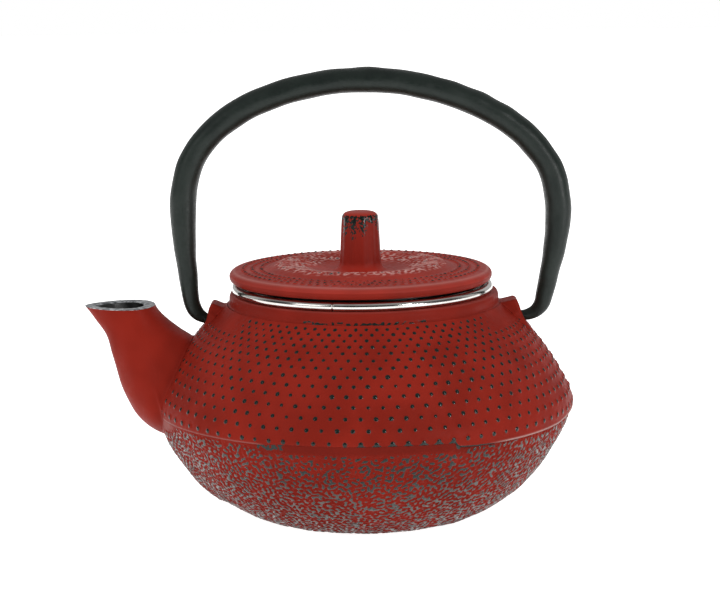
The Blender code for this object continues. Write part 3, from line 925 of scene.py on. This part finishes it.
def lid_knob():
    """The upright knob: twelve shallow flutes, their ridges rubbed black below the top edge."""
    top = LID_HIGH[2]
    knots = [(0.0, top), (2.4, top - 0.1), (3.9, top - 0.4), (4.7, top - 1.0), (5.1, top - 2.0), (5.32, 78.0),
             (5.72, 69.8), (5.86, 68.4), (6.2, 67.55), (6.8, 67.05), (7.8, 66.8)]
    path = evenly(through(knots, 12), 150)
    height = path[:, 1][:, None]
    angles = circle_angles(360)
    grid = turned(path, angles, LID_X)
    side = smooth_step(top - 0.8, top - 2.6, height) * smooth_step(67.6, 69.6, height)
    from_ridge = angles - KNOB_FRONT_RIDGE
    ridge = 0.5 * (1 + np.cos(KNOB_FLUTES * from_ridge))[None, :]
    which = np.round(from_ridge / (2 * pi / KNOB_FLUTES)).astype(int) % KNOB_FLUTES
    specks = worm_field(grid * np.array([1, 1, 0.8]), 0.75, seed=29, waves=90, spread=0.5)
    depth = top - 0.95 - grid[..., 2]
    reach = smooth_step(1.0, 0.1, depth / np.array(KNOB_RUBBED)[which]) * smooth_step(-0.3, 0.4, depth)
    crown = smooth_step(2.0, 0.4, depth) * smooth_step(-0.3, 0.4, depth)
    cover = reach * (0.25 + 0.75 * ridge) + 0.25 * crown
    wear = 0.5 + 0.20 * (specks + 2.6 * cover - 1.25)
    wear = np.clip(wear, 0, 1) * smooth_step(0.05, 0.2, cover)
    grid = grid + (0.22 * (1 - ridge) * side)[..., None] * grid_normals(grid)
    # Painted light, paler towards the top, and painted shade on the fluted sides
    painted_sheen = 0.18 * smooth_step(1.4, 0.2, top - grid[..., 2])
    item = weld(grid_object("lid_knob", grid, {"wear": wear, "painted_sheen": painted_sheen, "painted_shade": 0.4 * side}, flip=True))
    finish_piece(item, "lid", LID_RED, "lid_enamel")


def lid_underside():
    """The lid's black underside with its locating flange."""
    under, low, flange = LID_UNDER_Z, LID_LOW[2], LID_FLANGE_R
    path = through([(flange + 1.2, under), (flange + 0.1, under), (flange, under - 0.15), (flange, low + 0.6),
                    (flange - 0.18, low + 0.18), (flange - 0.6, low), (29.2, low), (28.8, low + 0.15),
                    (28.6, low + 0.6), (28.6, under - 0.4), (28.2, under + 0.1), (21.5, 65.9), (10.0, 64.7),
                    (0.0, 64.6)], 8)
    item = weld(grid_object("lid_underside", turned(path, circle_angles(320), LID_X), flip=True))
    finish_piece(item, "lid", LINING, "lid_enamel")


# ---- The infuser ----

# The bead rests on the collar: this much below its place in the frame, which keeps a gap there
BEAD_DROP = 0.7
BEAD_JOINT = radians(-12.5)


def infuser_bead():
    """The rolled steel rim, with the butt joint of its wire at the front."""
    middle_z = (BEAD_LOW[2] + BEAD_HIGH[2]) / 2 - BEAD_DROP
    tube = (BEAD_HIGH[2] - BEAD_LOW[2]) / 2
    radius = (BEAD_HIGH[0] - BEAD_LOW[0]) / 2 - tube
    # Close columns on either side of the joint, where the wire's ends are pinched
    near = 0.02
    spread = circle_angles(480)
    spread = spread[(spread > near + 0.001) & (spread < 2 * pi - near - 0.001)]
    cluster = np.linspace(-near, near, 33) % (2 * pi)
    angles = BEAD_JOINT + np.sort(np.concatenate([spread, cluster]))
    off = ((angles - BEAD_JOINT + pi) % (2 * pi) - pi) * radius
    pinch = 1 - 0.22 * np.exp(-(off / 0.16) ** 2)
    turn = circle_angles(28)
    r = radius + tube * np.cos(turn)[:, None] * pinch
    z = middle_z + tube * np.sin(turn)[:, None] * pinch
    grid = np.stack([INFUSER_X + r * np.sin(angles), -r * np.cos(angles), z], axis=-1)
    item = mesh_object("infuser_bead", grid.reshape(-1, 3), looped_quads(*grid.shape[:2]))
    finish_piece(item, "infuser", BRIGHT_STEEL, "infuser_steel", "infuser_rim")


def sheet_ring(name, knots, node_name):
    """A ring of thin steel from its section, in place of a CAD node."""
    item = grid_object(name, turned(through(knots, 6), circle_angles(360), INFUSER_X))
    finish_piece(item, "infuser", BRIGHT_STEEL, "infuser_steel", node_name)


def infuser_sheet_parts():
    """The pressed steel band under the bead and the ring round the base."""
    band_r = BAND_HIGH[0] - INFUSER_X
    top, foot = BAND_HIGH[2], BAND_LOW[2]
    sheet, gap, bead = 0.5, 0.3, 0.22
    outer = (WALL_HIGH[0] - WALL_LOW[0]) / 2 + gap + sheet
    inner = outer - sheet
    band = [(inner, foot), (outer - sheet / 2, foot), (outer, foot), (outer, foot + 0.9),
            (outer + bead, foot + 1.3), (outer + bead, foot + 2.0), (outer, foot + 2.4), (outer, top - 1.2),
            (outer + 0.4, top - sheet), (band_r, top - sheet), (band_r, top), (outer + 0.1, top),
            (inner + 0.1, top - 0.4), (inner, top - 1.4), (inner, foot + 0.2), (inner, foot)]
    sheet_ring("infuser_band", band, "infuser_collar")
    low, high = RING_LOW[2], RING_HIGH[2]
    ring_r = (RING_HIGH[0] - RING_LOW[0]) / 2
    hole = (BASE_HIGH[0] - BASE_LOW[0]) / 2 + 0.2
    ring = [(hole, low), (ring_r - 0.6, low), (ring_r - 0.15, low + 0.2), (ring_r, low + 0.7),
            (ring_r, high - 0.5), (ring_r - 0.15, high - 0.1), (ring_r - 0.5, high), (hole + 0.3, high),
            (hole, high - 0.2), (hole, low + 0.1), (hole, low)]
    sheet_ring("infuser_foot_ring", ring, "infuser_base_ring")


WIRE_R = 0.13
WIRE_SIDES = 3
WIRE_LIFT = 0.11


def wires(name, paths):
    """Many thin wires as one object; each path is an array of points, closed where flagged."""
    points, faces, count = [], [], 0
    turn = circle_angles(WIRE_SIDES)
    for path, closed in paths:
        if closed:
            along = np.roll(path, -1, axis=0) - np.roll(path, 1, axis=0)
        else:
            along = np.gradient(path, axis=0)
        along /= np.linalg.norm(along, axis=1)[:, None]
        guide = np.array([0.0, 0.0, 1.0]) if abs(along[0][2]) < 0.7 else np.array([1.0, 0.3, 0.0])
        a = np.cross(along, guide)
        a /= np.linalg.norm(a, axis=1)[:, None]
        b = np.cross(along, a)
        around = a[:, None] * np.cos(turn)[:, None] + b[:, None] * np.sin(turn)[:, None]
        quads = looped_quads(len(path), WIRE_SIDES) if closed else grid_quads(len(path), WIRE_SIDES)
        points.append((path[:, None] + WIRE_R * around).reshape(-1, 3))
        faces.append(quads + count)
        count += len(path) * WIRE_SIDES
    return mesh_object(name, np.vstack(points), np.vstack(faces))


def weave(run, strand):
    """How far a wire stands off the middle at whole numbers run of half pitches, by strand number."""
    return WIRE_LIFT * np.cos(pi * (run / 2 + strand))


def wire_path(x, y, z):
    """A wire's points, from coordinates about the infuser's axis."""
    return np.stack(np.broadcast_arrays(INFUSER_X + x, y, z), axis=-1)


def infuser_wall():
    """The basket's woven wall: hoops that go in and out of the uprights."""
    radius = (WALL_HIGH[0] - WALL_LOW[0]) / 2 - 0.25
    uprights, hoops = 220, 30
    levels = np.linspace(WALL_LOW[2] + 0.2, WALL_HIGH[2] - 0.2, hoops)
    angles = circle_angles(uprights * 2)
    paths = []
    for k, level in enumerate(levels):
        r = radius + weave(np.arange(uprights * 2), k)
        paths.append((wire_path(r * np.sin(angles), -r * np.cos(angles), level), True))
    steps = hoops * 2 - 1
    z = np.linspace(levels[0], levels[-1], steps)
    for k in range(uprights):
        angle = k * 2 * pi / uprights
        r = radius - weave(np.arange(steps), k)
        paths.append((wire_path(r * sin(angle), -r * cos(angle), z), False))
    finish_piece(wires("infuser_wall_mesh", paths), "infuser", WIRE_STEEL, "infuser_mesh", "infuser_wall")


def infuser_base():
    """The basket's woven base: wires both ways, cut to a circle."""
    disc_r = (BASE_HIGH[0] - BASE_LOW[0]) / 2
    middle = (BASE_LOW[2] + BASE_HIGH[2]) / 2
    pitch = 0.92
    count = int(disc_r / pitch)
    paths = []
    for k in range(-count, count + 1):
        aside = k * pitch
        steps = int((disc_r ** 2 - aside ** 2) ** 0.5 / (pitch / 2))
        if steps < 2:
            continue
        run = np.arange(-steps, steps + 1)
        paths.append((wire_path(run * pitch / 2, aside, middle + weave(run, k)), False))
        paths.append((wire_path(aside, run * pitch / 2, middle - weave(run, k)), False))
    finish_piece(wires("infuser_base_mesh", paths), "infuser", WIRE_STEEL, "infuser_mesh", "infuser_base")


# ---- The set ----

HORIZON_LIGHT = 0.36
OVERHEAD_LIGHT = 0.62
BACK_LIGHT = 0.75
# Shares of the light that reflections lose: in front at mid height, behind, and overall
FRONT_LOSS = 0.85
BACK_LOSS = 0.65
DOME_LOSS = 0.4
# Name, place, target, size in metres and power; the glint lamp shows in reflections only
LAMPS = (
    ("key", (0.55, -0.66, 0.42), (0, 0, 0.04), 0.12, 1.4),
    ("soft", (-0.76, -0.66, 0.50), (0, 0, 0.04), 0.50, 1.6),
    ("glint", (0.70, -0.62, 0.14), (0, 0, 0.03), 0.05, 1.9),
)


def floor_sheet():
    """A pale floor that looks white from the camera and glows a little."""
    reach = 4.0
    mesh = bpy.data.meshes.new("floor")
    mesh.from_pydata([(-reach, -reach, 0), (reach, -reach, 0), (reach, reach, 0), (-reach, reach, 0)], [],
                     [(0, 1, 2, 3)])
    material, tree, shader = new_material("floor_white")
    shader.inputs["Base Color"].default_value = (*FLOOR_TONE, 1.0)
    shader.inputs["Roughness"].default_value = 0.9
    shader.inputs["Specular IOR Level"].default_value = 0.0
    shader.inputs["Emission Color"].default_value = (*WHITE, 1.0)
    path = node(tree, "ShaderNodeLightPath").outputs
    brighter = maths(tree, "ADD", path["Is Camera Ray"], path["Is Glossy Ray"])
    glow = maths(tree, "ADD", maths(tree, "MULTIPLY", brighter, 0.75), 0.2)
    feed(shader, "Emission Strength", glow)
    mesh.materials.append(material)
    into_scene("floor", mesh)


def surroundings():
    """Soft white light from above and behind, a white backdrop, and darker reflections."""
    world = bpy.data.worlds.new("studio")
    world.use_nodes = True
    tree = world.node_tree

    def times(a, b):
        return maths(tree, "MULTIPLY", a, b)

    def less(share):
        return maths(tree, "SUBTRACT", 1.0, share)

    toward = node(tree, "ShaderNodeSeparateXYZ", {0: node(tree, "ShaderNodeTexCoord").outputs["Generated"]})
    y, z = toward.outputs["Y"], toward.outputs["Z"]
    path = node(tree, "ShaderNodeLightPath").outputs
    mirrored = path["Is Glossy Ray"]
    dome = remap(tree, z, 0.0, 0.7, HORIZON_LIGHT, OVERHEAD_LIGHT)
    behind = remap(tree, y, -0.35, 0.45, 0.0, BACK_LIGHT)
    low = remap(tree, z, 0.30, 0.75, 1.0, 0.0)
    front = times(remap(tree, y, 0.0, 0.35, 1.0, 0.0), remap(tree, z, 0.50, 0.80, 1.0, 0.0))
    glow = times(times(behind, low), less(times(mirrored, BACK_LOSS)))
    dimmed = times(dome, less(times(mirrored, DOME_LOSS)))
    light = times(maths(tree, "ADD", glow, dimmed), less(times(times(front, mirrored), FRONT_LOSS)))
    background = tree.nodes["Background"]
    background.inputs["Color"].default_value = (*WHITE, 1.0)
    feed(background, "Strength", mixed(tree, path["Is Camera Ray"], light, 1.0))
    bpy.context.scene.world = world
    bpy.context.scene.view_settings.view_transform = "Standard"


def lamps():
    """Square lamps at their places, each turned to face its target."""
    for name, place, target, size, power in LAMPS:
        light = bpy.data.lights.new(name, "AREA")
        light.size = size
        light.energy = power
        lamp = into_scene(name, light)
        lamp.location = place
        lamp.visible_diffuse = name != "glint"
        lamp.rotation_euler = (Vector(place) - Vector(target)).to_track_quat("Z", "Y").to_euler()


def viewpoint():
    """The camera, half a metre in front, looking down on the lid."""
    camera = bpy.data.cameras.new("camera")
    camera.sensor_width = 36.0
    camera.lens = 98.9
    yaw, pitch, roll = radians(-0.304), radians(9.575), radians(0.678)
    ahead = Vector((sin(yaw) * cos(pitch), cos(yaw) * cos(pitch), -sin(pitch)))
    level = Vector((cos(yaw), -sin(yaw), 0.0))
    upright = level.cross(ahead)
    right = cos(roll) * level - sin(roll) * upright
    up = sin(roll) * level + cos(roll) * upright
    place = Matrix((right, up, -ahead)).transposed().to_4x4()
    place.translation = (0.00181, -0.5423, 0.1496)
    viewer = into_scene("camera", camera)
    viewer.matrix_world = place
    bpy.context.scene.camera = viewer


upper_side()
lower_side()
pot_collar()
pot_inside()
pot_foot()
spout()
lug("lug_left", -1, LUG_LEFT)
lug("lug_right", 1, LUG_RIGHT)
bail()
lid_disc()
lid_knob()
lid_underside()
infuser_bead()
infuser_sheet_parts()
infuser_wall()
infuser_base()
floor_sheet()
surroundings()
lamps()
viewpoint()
